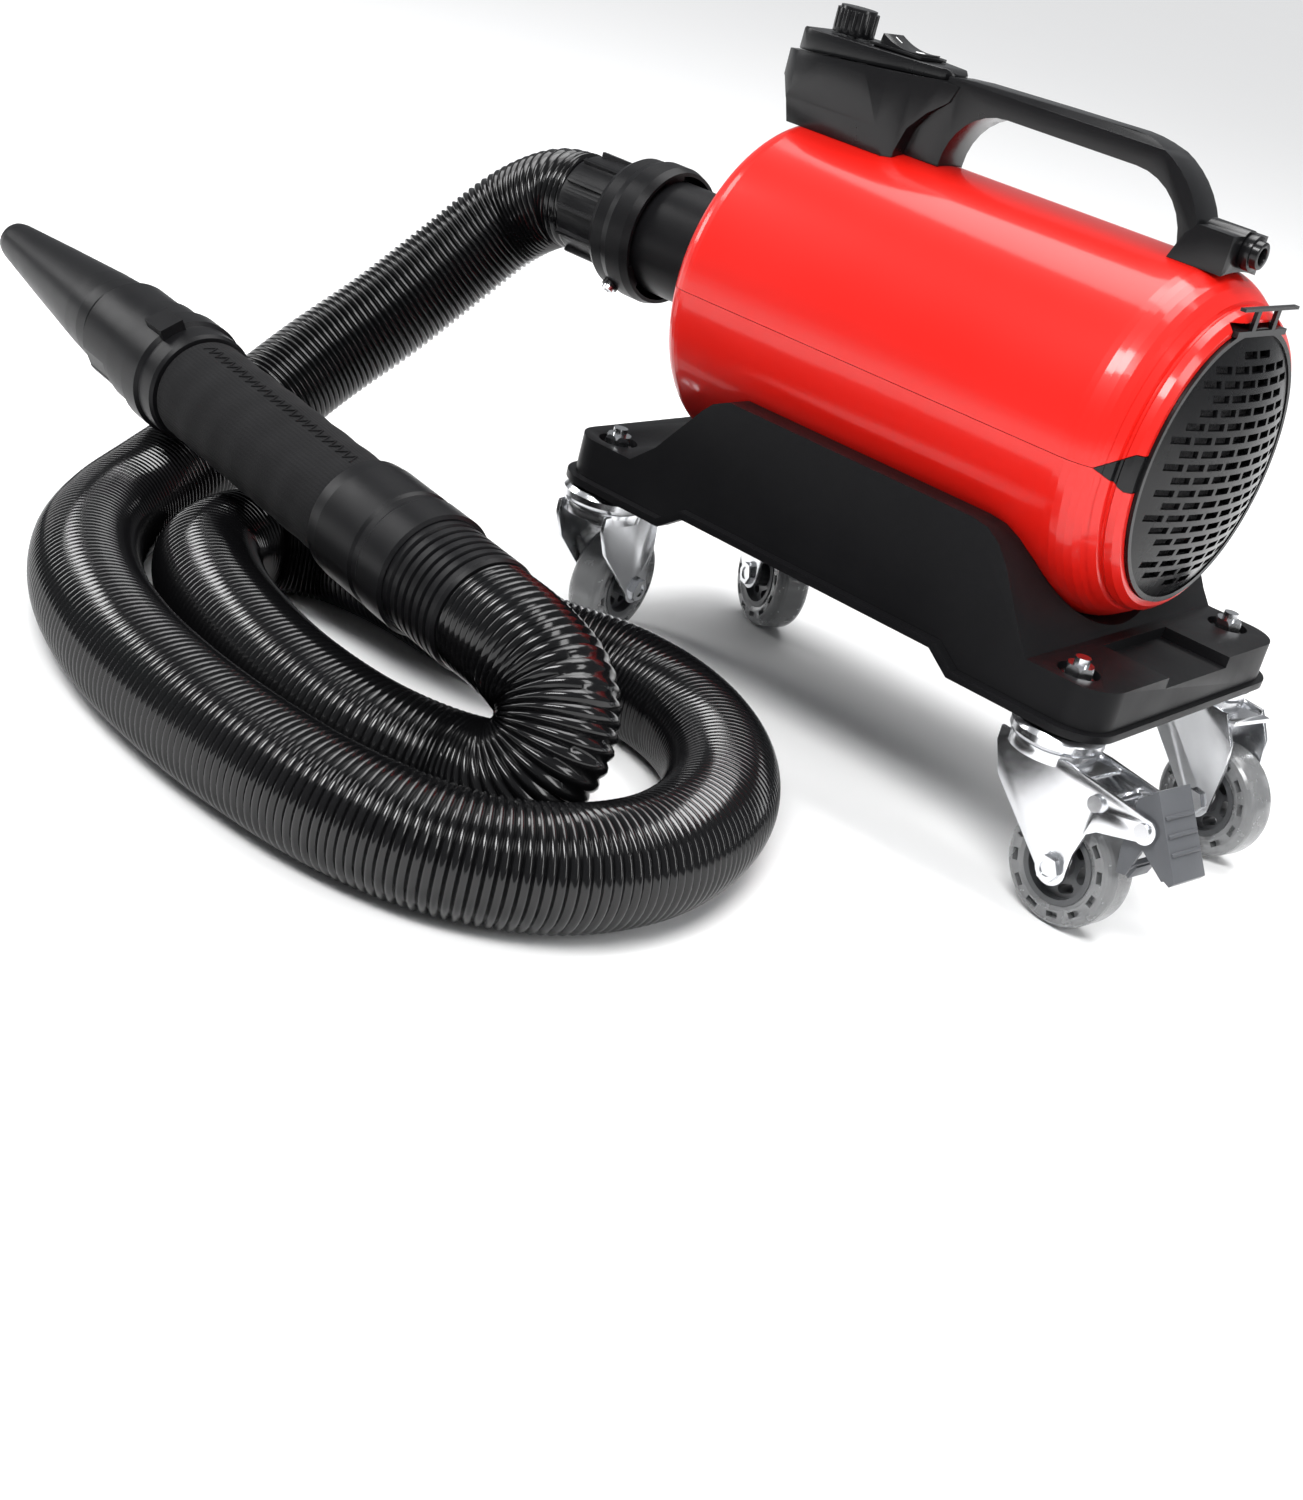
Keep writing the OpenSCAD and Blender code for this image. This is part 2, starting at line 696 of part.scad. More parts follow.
module fork_body(braked) {
    difference() {
        union() {
            slab(plate_in, plate_in + plate_t) fork_plate_outline(braked);
            slab(-plate_in - plate_t, -plate_in) fork_plate_outline(braked);
            translate([0, 0, 79]) cylinder(r = 22.5, h = fork_top - 79);
            translate([-8, -plate_in - 1, 79.4]) cube([braked ? 40 : 44, 2 * plate_in + 2, 2.4]);
        }
        translate([0, 0, 60]) cylinder(r = 4 + fit_gap, h = 60);
        translate([0, 0, 66]) cylinder(r = 13, h = 14);
    }
}

module caster_fork(i) {
    color([0.76, 0.77, 0.79]) at_frame() at_caster(i) fork_body(i == 0);
}

module caster_axle(i) {
    color([0.78, 0.79, 0.8]) at_frame() at_caster(i) translate([trail, 0, wheel_r]) rotate([90, 0, 0]) {
        translate([0, 0, -plate_in - plate_t - 3]) cylinder(r = axle_r, h = 2 * (plate_in + plate_t) + 5.6);
        for (z = [-plate_in - plate_t - 3.4, plate_in + plate_t]) translate([0, 0, z])
            difference() {
                hex(12, 3.4);
                translate([0, 0, -1]) cylinder(r = axle_r - 0.1, h = 6);
            }
    }
}

hub_w = 22;
module caster_hub(i) {
    color([0.36, 0.37, 0.38]) at_frame() at_caster(i) translate([trail, 0, wheel_r]) rotate([90, 0, 0])
        difference() {
            union() {
                translate([0, 0, -hub_w / 2]) ring(hub_r, hub_r - 3, hub_w);
                translate([0, 0, -hub_w / 2 - 1.5]) cylinder(r = 7, h = hub_w + 3);
                translate([0, 0, -6]) cylinder(r = hub_r - 1, h = 12);
            }
            translate([0, 0, -20]) cylinder(r = axle_r + fit_gap, h = 40);
            for (a = [0:60:300]) rotate([0, 0, a]) translate([12.2, 0, -10]) {
                translate([0, -2.2, 0]) cylinder(r = 2.5, h = 20);
                translate([0, 2.2, 0]) cylinder(r = 2.5, h = 20);
                translate([-2.5, -2.2, 0]) cube([5, 4.4, 20]);
            }
        }
}

module caster_tyre(i) {
    half = tyre_w / 2;
    color([0.62, 0.63, 0.64, 0.6]) at_frame() at_caster(i) translate([trail, 0, wheel_r]) rotate([90, 0, 0])
        difference() {
            rotate_extrude() polygon(concat(
                [[hub_r, -half + 1], [hub_r + 2.5, -half]],
                arc([wheel_r - 6, -half + 6], 6, -90, 0, 5),
                arc([wheel_r - 6, half - 6], 6, 0, 90, 5),
                [[hub_r + 2.5, half], [hub_r, half - 1]]));
            for (a = [0:30:330], s = [-1, 1]) rotate([0, 0, a + 15])
                translate([window_r, -3.2, s > 0 ? half - 5 : -half - 5]) cube([3, 6.4, 10]);
        }
}

module brake_pedal() {
    web_y = plate_in - 3.2;
    color([0.5, 0.51, 0.52]) at_frame() at_caster(0) difference() {
        union() {
            for (s = [-1, 1]) translate([0, s * (web_y + 1), 0]) slab(-1, 1)
                polygon([[61, 86], [68, 92], [76, 84], [90, 58], [87, 55], [72, 64], [68, 48], [63, 47], [61, 60]]);
            slab(-web_y - 2, web_y + 2) polygon([[66.5, 92], [69.5, 94], [93.5, 57.5], [91.5, 54.6], [86, 56.6], [89, 58.6]]);
            slab(-8, 8) polygon([[63.6, 46.8], [67, 53.5], [70, 52], [67.6, 45]]);
            slab(-web_y - 1, web_y + 1) polygon([[65.6, 52.6], [68, 55.6], [70, 54], [68.4, 50.6]]);
        }
        translate([brake_pivot.x, 20, brake_pivot.y]) rotate([90, 0, 0]) cylinder(r = 2.5 + fit_gap, h = 40);
    }
}

module brake_rivets() {
    color([0.8, 0.81, 0.82]) at_frame() at_caster(0) for (p = [brake_pivot, [43, 74]])
        translate([p.x, 0, p.y]) rotate([90, 0, 0]) {
            translate([0, 0, -plate_in - plate_t - 1]) cylinder(r = 2.5, h = 2 * (plate_in + plate_t + 1));
            for (s = [-1, 1]) translate([0, 0, s > 0 ? plate_in + plate_t : -plate_in - plate_t - 2]) cylinder(r = 4.2, h = 2);
        }
}

// ---------------------------------------------------------------- hose
cuff_end = -281;
ring_end = -246;
wand_start = [-47, -284, 90];
wand_tip = [-545, -206, 110];
wand_vec = wand_tip - wand_start;
wand_len = norm(wand_vec);

// The hose's route: down from the outlet, once round on the floor, back under the wand,
// round again inside that turn, and up into the wand.
hose_route = [[-281, 0, 217], [-304, -2, 213], [-329, -11, 193], [-348, -35, 158], [-362, -68, 122],
    [-373, -106, 90], [-373, -149, 62], [-363, -194, 43], [-347, -240, 32], [-323, -284, 29],
    [-288, -325, 29], [-241, -358, 29], [-186, -380, 29], [-128, -391, 29], [-70, -394, 29],
    [-14, -389, 29], [34, -371, 29], [66, -338, 29], [79, -294, 29], [74, -249, 29],
    [56, -208, 29], [25, -174, 29], [-16, -153, 29], [-62, -150, 29], [-108, -168, 29],
    [-156, -179, 29], [-204, -180, 29], [-247, -192, 29], [-271, -226, 29], [-258, -268, 29],
    [-218, -297, 29], [-168, -317, 29], [-114, -329, 29], [-60, -330, 29], [-16, -318, 30],
    [11, -312, 39], [21, -302, 59], [11, -293, 79], [-15, -289, 88], [-47, -284, 90]];
hose_sides = 12;
hose_wall = 2.5;
last = len(hose_route) - 1;
function route(i) = i < 0 ? 2 * hose_route[0] - hose_route[1]
    : i > last ? 2 * hose_route[last] - hose_route[last - 1] : hose_route[i];
// A smooth curve through the route's points, and its direction.
function curve(i, t) = 0.5 * (2 * route(i) + (route(i + 1) - route(i - 1)) * t
    + (2 * route(i - 1) - 5 * route(i) + 4 * route(i + 1) - route(i + 2)) * t * t
    + (3 * route(i) - route(i - 1) - 3 * route(i + 1) + route(i + 2)) * t * t * t);
function heading(i, t) = (route(i + 1) - route(i - 1))
    + 2 * (2 * route(i - 1) - 5 * route(i) + 4 * route(i + 1) - route(i + 2)) * t
    + 3 * (3 * route(i) - route(i - 1) - 3 * route(i + 1) + route(i + 2)) * t * t;
function unit(v) = v / norm(v);
rings = concat([for (i = [0:last - 1], t = [0, 0.5]) [curve(i, t), unit(heading(i, t))]],
    [[hose_route[last], unit(heading(last - 1, 1))]]);
function ring_points(at, dir, r) = let (side = unit(cross(dir, [0, 0, 1])), up = cross(side, dir))
    [for (k = [0:hose_sides - 1]) at + r * (side * cos(360 * k / hose_sides) + up * sin(360 * k / hose_sides))];

// Faces of one wall of the tube whose first point has the given number.
function wall(first, out) = [for (i = [0:len(rings) - 2], k = [0:hose_sides - 1])
    let (a = first + i * hose_sides + k, b = first + i * hose_sides + (k + 1) % hose_sides,
        c = b + hose_sides, d = a + hose_sides) out ? [a, b, c, d] : [d, c, b, a]];
// Faces of one end, between the outer ring and the inner ring.
function rim(outer, inner, front) = [for (k = [0:hose_sides - 1])
    let (n = (k + 1) % hose_sides) front ? [outer + n, outer + k, inner + k, inner + n]
        : [outer + k, outer + n, inner + n, inner + k]];

module hose_tube() {
    inside = len(rings) * hose_sides;
    far = inside - hose_sides;
    points = concat([for (s = rings) each ring_points(s[0], s[1], hose_d / 2)],
        [for (s = rings) each ring_points(s[0], s[1], hose_d / 2 - hose_wall)]);
    color([0.03, 0.03, 0.03]) at_frame() polyhedron(points, concat(wall(0, true), wall(inside, false),
        rim(0, inside, true), rim(far, inside + far, false)), convexity = 10);
}

module hose_cuff() {
    color([0.06, 0.06, 0.065]) at_frame() difference() {
        union() {
            on_axis(cuff_end + 0.1) cylinder(r1 = 28.5, r2 = 30, h = 38);
            on_axis(ring_end) cylinder(r = 32, h = 4);
            on_axis(ring_end) cylinder(r = air_r - 0.3, h = 24);
            for (a = [0:30:330]) on_axis(cuff_end + 3) rotate([0, 0, a]) translate([0, -1.2, 0])
                linear_extrude(34) square([31.8, 2.4]);
        }
        on_axis(cuff_end - 1) cylinder(r = 24, h = 80);
    }
}

module lock_ring() {
    color([0.06, 0.06, 0.065]) at_frame() difference() {
        union() {
            on_axis() rotate_extrude() polygon([[32.6, -245.9], [36.5, -245.6], [38.6, -242], [38.8, -234],
                [40.5, -229], [40.5, -218], [38.8, -213], [36.7, -213], [36.7, -240.6], [32.6, -240.6]]);
            translate([-231, 0, axis_z]) rotate([144, 0, 0]) translate([0, 0, 37]) cylinder(r = 5, h = 5.2);
        }
        translate([-231, 0, axis_z]) rotate([144, 0, 0]) translate([0, 0, 30]) cylinder(r = 2.05, h = 20);
    }
}

module ring_screw() {
    color([0.85, 0.85, 0.86]) at_frame() translate([-231, 0, axis_z]) rotate([144, 0, 0])
        translate([0, 0, 42.3]) rotate([180, 0, 0]) pan_screw(2, 3.8, 2.4, 5.4);
}

// ---------------------------------------------------------------- wand
// Turns a solid made about Z so that it lies along the wand, its base at distance s from the hose.
module on_wand(s = 0) {
    translate(wand_start + wand_vec * (s / wand_len))
        rotate([0, acos(wand_vec.z / wand_len), atan2(wand_vec.y, wand_vec.x)]) children();
}

pipe_r = 25;
module wand_cuff() {
    color([0.06, 0.06, 0.065]) at_frame() on_wand() rotate_extrude() polygon(concat([[24, 0.1], [29, 0.1]],
        [for (i = [0:5]) each [[30.2, 2 + 6 * i], [30.2, 5.4 + 6 * i], [28.6, 6 + 6 * i], [28.6, 7.4 + 6 * i]]],
        [[30.2, 38.4], [30.2, 42], [24, 42]]));
}

module wand_pipe() {
    color([0.07, 0.07, 0.075]) at_frame() on_wand(42.1) rotate_extrude() polygon([[22, 0], [31, 0], [32.6, 1.5],
        [32.6, 20], [31.4, 22], [31.4, 26], [32.4, 28], [32.4, 58], [31.6, 66], [29.4, 67.6], [25, 67.8],
        [pipe_r, 229], [22, 229]]);
}

module wand_sleeve() {
    color([0.045, 0.045, 0.05]) at_frame() on_wand(110.3) rotate_extrude() polygon([[pipe_r + 0.1, 0],
        [sleeve_r - 1, 0], [sleeve_r, 1.5], [sleeve_r, 159], [sleeve_r - 1, 160.6], [pipe_r + 0.1, 160.6]]);
}

module wand_collar() {
    color([0.06, 0.06, 0.065]) at_frame() on_wand(271.4) difference() {
        union() {
            rotate_extrude() polygon([[22, 0], [30, 0], [31.4, 2], [31.4, 14], [33.4, 16], [33.4, 30],
                [31, 32], [31, 52], [29.5, 54], [29.5, 84], [28, 84], [28, 60], [22, 60]]);
            rotate([0, 0, 150]) translate([30, -7, 12]) cube([7, 14, 18]);
        }
        rotate([0, 0, 60]) translate([28.6, -6, 60]) cube([6, 12, 30]);
    }
}

module nozzle() {
    tip_s = wand_len - 332;
    color([0.055, 0.055, 0.06]) at_frame() on_wand(332) rotate_extrude() polygon([[22, 0], [27.7, 0], [27.7, 23.6],
        [25.8, 24.4], [25.8, 26.4], [24.9, 27.4], [24.9, 29.4], [25.8, 30.4], [25.8, 40],
        [24.5, 56], [18.5, 112], [13.2, tip_s - 14], [12.2, tip_s - 5], [11.2, tip_s],
        [mouth_d / 2, tip_s], [mouth_d / 2, tip_s - 24], [21.4, 56], [22, 40]]);
}

// ---------------------------------------------------------------- output
upper_shell();
lower_shell();
outlet_spigot();
handle();
switch_plate();
rocker_bezel();
speed_control();
cable_gland();
control_board();
motor_stator();
fan_casing();
front_bracket();
rear_bracket();
motor_bearings();
mount_rings();
carbon_brushes();
foam_liner();
casing_screws();
deck();
deck_screws();
caster_cups();
caster_stems();
stem_nuts();
intake_grille();
filter_foam();
motor_shaft();
armature();
commutator();
fan_impellers();
speed_knob();
knob_spindle();
power_rocker();
caster_fork(0);  // fork_front_right
caster_fork(1);  // fork_back_right
caster_fork(2);  // fork_back_left
caster_fork(3);  // fork_front_left
caster_axle(0);  // axle_front_right
caster_axle(1);  // axle_back_right
caster_axle(2);  // axle_back_left
caster_axle(3);  // axle_front_left
caster_hub(0);  // hub_front_right
caster_hub(1);  // hub_back_right
caster_hub(2);  // hub_back_left
caster_hub(3);  // hub_front_left
caster_tyre(0);  // tyre_front_right
caster_tyre(1);  // tyre_back_right
caster_tyre(2);  // tyre_back_left
caster_tyre(3);  // tyre_front_left
brake_pedal();
brake_rivets();
hose_tube();
hose_cuff();
lock_ring();
ring_screw();
wand_cuff();
wand_pipe();
wand_sleeve();
wand_collar();
nozzle();
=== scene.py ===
"""Looks of a wheeled forced-air pet dryer: hose, wand, casing and casters, with their finishes."""
import json
import math
import bpy
from bpy.props import FloatProperty, FloatVectorProperty, IntProperty, PointerProperty
from mathutils import Matrix, Vector
from mathutils.bvhtree import BVHTree

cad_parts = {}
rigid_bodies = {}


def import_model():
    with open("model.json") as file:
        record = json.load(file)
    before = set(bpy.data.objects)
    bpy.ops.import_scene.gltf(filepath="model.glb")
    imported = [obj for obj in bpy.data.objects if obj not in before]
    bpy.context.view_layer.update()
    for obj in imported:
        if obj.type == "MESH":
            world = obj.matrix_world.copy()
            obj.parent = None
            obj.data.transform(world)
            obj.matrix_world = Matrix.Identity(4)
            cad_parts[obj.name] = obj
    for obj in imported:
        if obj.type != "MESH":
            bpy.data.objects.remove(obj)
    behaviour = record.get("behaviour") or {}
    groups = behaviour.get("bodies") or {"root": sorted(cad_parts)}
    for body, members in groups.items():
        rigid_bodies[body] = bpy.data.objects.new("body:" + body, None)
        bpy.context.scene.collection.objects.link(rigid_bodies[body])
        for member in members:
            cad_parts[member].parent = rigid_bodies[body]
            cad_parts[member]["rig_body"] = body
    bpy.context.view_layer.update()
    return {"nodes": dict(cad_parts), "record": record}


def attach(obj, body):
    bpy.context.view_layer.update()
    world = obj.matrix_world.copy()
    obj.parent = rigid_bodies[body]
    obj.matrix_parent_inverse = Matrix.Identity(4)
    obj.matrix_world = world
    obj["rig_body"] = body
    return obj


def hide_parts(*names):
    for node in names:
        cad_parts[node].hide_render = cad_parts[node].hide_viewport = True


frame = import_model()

bl_info = {
    "name": "Pet dryer maker",
    "version": (1, 0, 0),
    "blender": (4, 5, 0),
    "location": "3D View > Sidebar > Dryer",
    "description": "Makes the visible pieces and finishes of a wheeled pet dryer",
    "category": "Object",
}

NODES = frame["nodes"]
MM = 0.001
# The part's frame stands this far from the middle of the caster stems.
CENTRE = Vector((10.955, -1.813, 0.0))


def here(x, y, z):
    """A point given in millimetres from the middle of the casters, in the part's frame."""
    return (Vector((x, y, z)) - CENTRE) * MM


# ------------------------------------------------------------------ settings
class DryerHose(bpy.types.PropertyGroup):
    """Sizes of the hose."""
    outside: FloatProperty(name="Outside diameter", description="Diameter over the ribs",
                           default=0.058, unit="LENGTH")
    depth: FloatProperty(name="Rib depth", description="How deep the valleys between the ribs are",
                         default=0.0021, unit="LENGTH")
    pitch: FloatProperty(name="Rib pitch", description="Distance from rib to rib",
                         default=0.0041, unit="LENGTH")
    sides: IntProperty(name="Sides", description="Faces round the hose", default=44)


class DryerColours(bpy.types.PropertyGroup):
    """Colours of the main finishes."""
    paint: FloatVectorProperty(name="Paint", description="Lacquer of the barrel", subtype="COLOR",
                               size=4, default=(0.62, 0.008, 0.004, 1))
    black: FloatVectorProperty(name="Black", description="Moulded plastic", subtype="COLOR",
                               size=4, default=(0.0045, 0.0045, 0.005, 1))
    zinc: FloatVectorProperty(name="Zinc", description="Plated steel of the casters", subtype="COLOR",
                              size=4, default=(0.74, 0.75, 0.77, 1))
    tyre: FloatVectorProperty(name="Tyre", description="Smoked polyurethane", subtype="COLOR",
                              size=4, default=(0.3, 0.305, 0.31, 1))


class DryerStage(bpy.types.PropertyGroup):
    """Sizes of the stage."""
    lens: FloatProperty(name="Lens", description="Focal length of the camera", default=51.5,
                        unit="CAMERA")
    floor: FloatProperty(name="Floor", description="Side of the floor", default=60.0, unit="LENGTH")


# ------------------------------------------------------------------ materials
def new_material(name):
    m = bpy.data.materials.new(name)
    m.use_nodes = True
    return m, m.node_tree.nodes, m.node_tree.links, m.node_tree.nodes["Principled BSDF"]


def coords(nodes, links, scale=(1, 1, 1)):
    """Object coordinates, stretched by a mapping."""
    tex = nodes.new("ShaderNodeTexCoord")
    mapping = nodes.new("ShaderNodeMapping")
    mapping.inputs["Scale"].default_value = scale
    links.new(tex.outputs["Object"], mapping.inputs["Vector"])
    return mapping.outputs["Vector"]


def noise(nodes, links, vector, scale, detail=4, rough=0.6):
    n = nodes.new("ShaderNodeTexNoise")
    n.inputs["Scale"].default_value = scale
    n.inputs["Detail"].default_value = detail
    n.inputs["Roughness"].default_value = rough
    links.new(vector, n.inputs["Vector"])
    return n.outputs["Fac"]


def span(nodes, links, value, low, high, out_low, out_high):
    r = nodes.new("ShaderNodeMapRange")
    for key, number in (("From Min", low), ("From Max", high),
                        ("To Min", out_low), ("To Max", out_high)):
        r.inputs[key].default_value = number
    links.new(value, r.inputs["Value"])
    return r.outputs["Result"]


def tint(nodes, links, value, dark, light):
    ramp = nodes.new("ShaderNodeValToRGB")
    ramp.color_ramp.elements[0].color = dark
    ramp.color_ramp.elements[1].color = light
    links.new(value, ramp.inputs["Fac"])
    return ramp.outputs["Color"]


def bump(nodes, links, shader, height, strength, distance, before=None):
    b = nodes.new("ShaderNodeBump")
    b.inputs["Strength"].default_value = strength
    b.inputs["Distance"].default_value = distance
    links.new(height, b.inputs["Height"])
    if before:
        links.new(before, b.inputs["Normal"])
    links.new(b.outputs["Normal"], shader.inputs["Normal"])
    return b.outputs["Normal"]


def shade(colour, k):
    return (colour[0] * k, colour[1] * k, colour[2] * k, 1)


def lacquer(name, colour):
    """Deep glossy lacquer over metal, with a little orange peel."""
    m, nodes, links, shader = new_material(name)
    v = coords(nodes, links)
    cloud = noise(nodes, links, v, 5, 2)
    links.new(tint(nodes, links, cloud, shade(colour, 0.95), shade(colour, 1.03)),
              shader.inputs["Base Color"])
    links.new(span(nodes, links, noise(nodes, links, v, 8, 2), 0.3, 0.7, 0.34, 0.42),
              shader.inputs["Roughness"])
    bump(nodes, links, shader, noise(nodes, links, v, 420, 2), 0.03, 0.0004)
    shader.inputs["Specular IOR Level"].default_value = 0.2
    shader.inputs["Coat Weight"].default_value = 0.6
    shader.inputs["Coat Roughness"].default_value = 0.11
    return m


def moulded(name, colour, rough, grain=0.12, grain_scale=1500, coat=0.0, shine=0.12):
    """Moulded plastic: fine grain, slow changes of gloss, faint scuffs."""
    m, nodes, links, shader = new_material(name)
    v = coords(nodes, links)
    cloud = noise(nodes, links, v, 14, 5)
    links.new(tint(nodes, links, cloud, shade(colour, 0.8), shade(colour, 1.35)),
              shader.inputs["Base Color"])
    links.new(span(nodes, links, noise(nodes, links, v, 35, 6), 0.3, 0.7, rough * 0.86, rough * 1.16),
              shader.inputs["Roughness"])
    bump(nodes, links, shader, noise(nodes, links, v, grain_scale, 2), grain, 0.0003)
    shader.inputs["Specular IOR Level"].default_value = shine
    shader.inputs["Coat Weight"].default_value = coat
    shader.inputs["Coat Roughness"].default_value = 0.12
    return m


def plated(name, colour, rough=0.2):
    """Bright zinc plate: cloudy patches, drawing lines and a slight ripple."""
    m, nodes, links, shader = new_material(name)
    v = coords(nodes, links)
    cloud = noise(nodes, links, v, 55, 4)
    links.new(tint(nodes, links, cloud, shade(colour, 0.86), shade(colour, 1.08)),
              shader.inputs["Base Color"])
    links.new(span(nodes, links, noise(nodes, links, v, 70, 3), 0.3, 0.7, rough * 0.85, rough * 1.25),
              shader.inputs["Roughness"])
    bump(nodes, links, shader, noise(nodes, links, v, 90, 3), 0.08, 0.0006)
    shader.inputs["Metallic"].default_value = 1.0
    return m


def smoked(name, colour):
    """Clear grey polyurethane, faintly clouded."""
    m, nodes, links, shader = new_material(name)
    v = coords(nodes, links)
    cloud = noise(nodes, links, v, 60, 4)
    links.new(tint(nodes, links, cloud, shade(colour, 0.85), shade(colour, 1.2)),
              shader.inputs["Base Color"])
    links.new(span(nodes, links, noise(nodes, links, v, 120), 0.3, 0.7, 0.16, 0.3),
              shader.inputs["Roughness"])
    bump(nodes, links, shader, noise(nodes, links, v, 500, 2), 0.08, 0.0003)
    shader.inputs["Transmission Weight"].default_value = 0.55
    shader.inputs["IOR"].default_value = 1.45
    shader.inputs["Coat Weight"].default_value = 0.3
    return m


def knit(name, colour):
    """Stretch knit over neoprene: a fine ribbed weave with short fibres."""
    m, nodes, links, shader = new_material(name)
    uv = nodes.new("ShaderNodeUVMap")
    uv.uv_map = "cloth"
    wale = nodes.new("ShaderNodeTexWave")
    wale.inputs["Scale"].default_value = 900 / (2 * math.pi)
    wale.inputs["Distortion"].default_value = 1.2
    links.new(uv.outputs["UV"], wale.inputs["Vector"])
    loops = nodes.new("ShaderNodeTexVoronoi")
    loops.inputs["Scale"].default_value = 1100
    links.new(uv.outputs["UV"], loops.inputs["Vector"])
    v = coords(nodes, links)
    lint = noise(nodes, links, v, 2600, 2)
    cloud = noise(nodes, links, v, 40, 4)
    links.new(tint(nodes, links, cloud, shade(colour, 0.7), shade(colour, 1.9)),
              shader.inputs["Base Color"])
    links.new(span(nodes, links, lint, 0.2, 0.8, 0.78, 0.98), shader.inputs["Roughness"])
    first = bump(nodes, links, shader, wale.outputs["Fac"], 0.3, 0.0003)
    second = bump(nodes, links, shader, loops.outputs["Distance"], 0.3, 0.0003, first)
    bump(nodes, links, shader, lint, 0.2, 0.0003, second)
    shader.inputs["Specular IOR Level"].default_value = 0.12
    shader.inputs["Sheen Weight"].default_value = 0.02
    shader.inputs["Sheen Roughness"].default_value = 0.45
    return m


def sponge(name, colour):
    """Open-cell foam, with painted shade darkening the pits of its cells and lighter rims between them.
    """
    m, nodes, links, shader = new_material(name)
    v = coords(nodes, links)
    cells = nodes.new("ShaderNodeTexVoronoi")
    cells.inputs["Scale"].default_value = 700
    links.new(v, cells.inputs["Vector"])
    # Painted shade: the colour goes dark where the cells sink into pits under the bump, and light on
    # their rims.
    links.new(tint(nodes, links, cells.outputs["Distance"], shade(colour, 0.2), shade(colour, 1.6)),
              shader.inputs["Base Color"])
    bump(nodes, links, shader, cells.outputs["Distance"], 0.8, 0.001)
    links.new(span(nodes, links, cells.outputs["Distance"], 0, 1, 0.85, 1), shader.inputs["Roughness"])
    return m


def brushed(name, colour, rough, lines=(1, 1, 1)):
    """Turned or drawn metal with fine lines."""
    m, nodes, links, shader = new_material(name)
    v = coords(nodes, links, lines)
    fine = noise(nodes, links, v, 300, 5)
    links.new(tint(nodes, links, fine, shade(colour, 0.75), shade(colour, 1.1)),
              shader.inputs["Base Color"])
    links.new(span(nodes, links, fine, 0.3, 0.7, rough * 0.8, rough * 1.3),
              shader.inputs["Roughness"])
    bump(nodes, links, shader, fine, 0.1, 0.0003)
    shader.inputs["Metallic"].default_value = 1.0
    return m


FINISH = {}


def make_finishes(c):
    black = tuple(c.black)
    FINISH.update({
        "red_paint": lacquer("red_lacquer", tuple(c.paint)),
        "black_satin": moulded("satin_black_plastic", shade(black, 1.25), 0.36),
        "black_gloss": moulded("gloss_black_plastic", black, 0.24, 0.04, 900, 0.12, 0.26),
        "grille_black": moulded("grille_plastic", shade(black, 1.0), 0.26, 0.1, 1300, shine=0.3),
        "zinc_plate": plated("bright_zinc", tuple(c.zinc)),
        "steel": brushed("turned_steel", (0.66, 0.67, 0.69, 1), 0.24),
        "hub_grey": moulded("hub_plastic", (0.05, 0.052, 0.055, 1), 0.34, 0.1, 1100, shine=0.5),
        "clear_tyre": smoked("smoked_tyre", tuple(c.tyre)),
        "pedal_grey": moulded("pedal_cover", (0.085, 0.088, 0.095, 1), 0.34, 0.1, 900),
        "hose_black": moulded("hose_plastic", shade(black, 0.7), 0.14, 0.02, 700, 0.1, 0.34),
        "neoprene": knit("sleeve_knit", (0.0065, 0.0065, 0.007, 1)),
        "rubber": moulded("rubber_mount", (0.02, 0.02, 0.02, 1), 0.7),
        "copper": brushed("copper_winding", (0.72, 0.32, 0.13, 1), 0.35, (8, 1, 1)),
        "laminations": brushed("steel_laminations", (0.3, 0.3, 0.32, 1), 0.45, (30, 1, 1)),
        "aluminium": brushed("spun_aluminium", (0.74, 0.75, 0.76, 1), 0.3, (12, 1, 1)),
        "carbon": moulded("carbon_block", (0.03, 0.03, 0.032, 1), 0.6),
        "board_green": moulded("circuit_board", (0.02, 0.13, 0.05, 1), 0.4),
        "foam": sponge("filter_sponge", (0.035, 0.035, 0.037, 1)),
        "mark_white": moulded("printed_white", (0.7, 0.7, 0.7, 1), 0.5),
    })


def paint(obj, slot):
    obj.data.materials.clear()
    obj.data.materials.append(FINISH[slot])
    return obj


# ------------------------------------------------------------------ modelling
def drop_selection():
    if bpy.context.mode != "OBJECT":
        bpy.ops.object.mode_set(mode="OBJECT")
    bpy.ops.object.select_all(action="DESELECT")


def pick(obj):
    drop_selection()
    obj.hide_set(False)
    obj.select_set(True)
    bpy.context.view_layer.objects.active = obj
    return obj


def settle(obj):
    """Leaves a finished piece's object at the origin, with its place in its mesh."""
    pick(obj)
    bpy.ops.object.transform_apply(location=True, rotation=True, scale=True)
    return obj


def face_out(obj):
    pick(obj)
    bpy.ops.object.mode_set(mode="EDIT")
    bpy.ops.mesh.select_all(action="SELECT")
    bpy.ops.mesh.normals_make_consistent(inside=False)
    bpy.ops.object.mode_set(mode="OBJECT")
    return obj


def mesh_piece(name, points, faces):
    data = bpy.data.meshes.new(name)
    data.from_pydata([tuple(p) for p in points], [], faces)
    obj = bpy.data.objects.new(name, data)
    bpy.context.scene.collection.objects.link(obj)
    return obj


def finish_piece(obj, body, slot, angle=35):
    pick(obj)
    bpy.ops.object.shade_smooth_by_angle(angle=math.radians(angle))
    paint(obj, slot)
    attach(obj, body)
    return obj


def slot_of(node):
    for row in frame["record"]["subparts"]:
        if row["node"] == node:
            return row["material_slot"]
    raise RuntimeError(f"no finish for {node}")


# The pieces that stand for a node, where the node itself doesn't show.
STAND_INS = {}


def stand_for(node, piece):
    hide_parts(node)
    STAND_INS[node] = [piece]


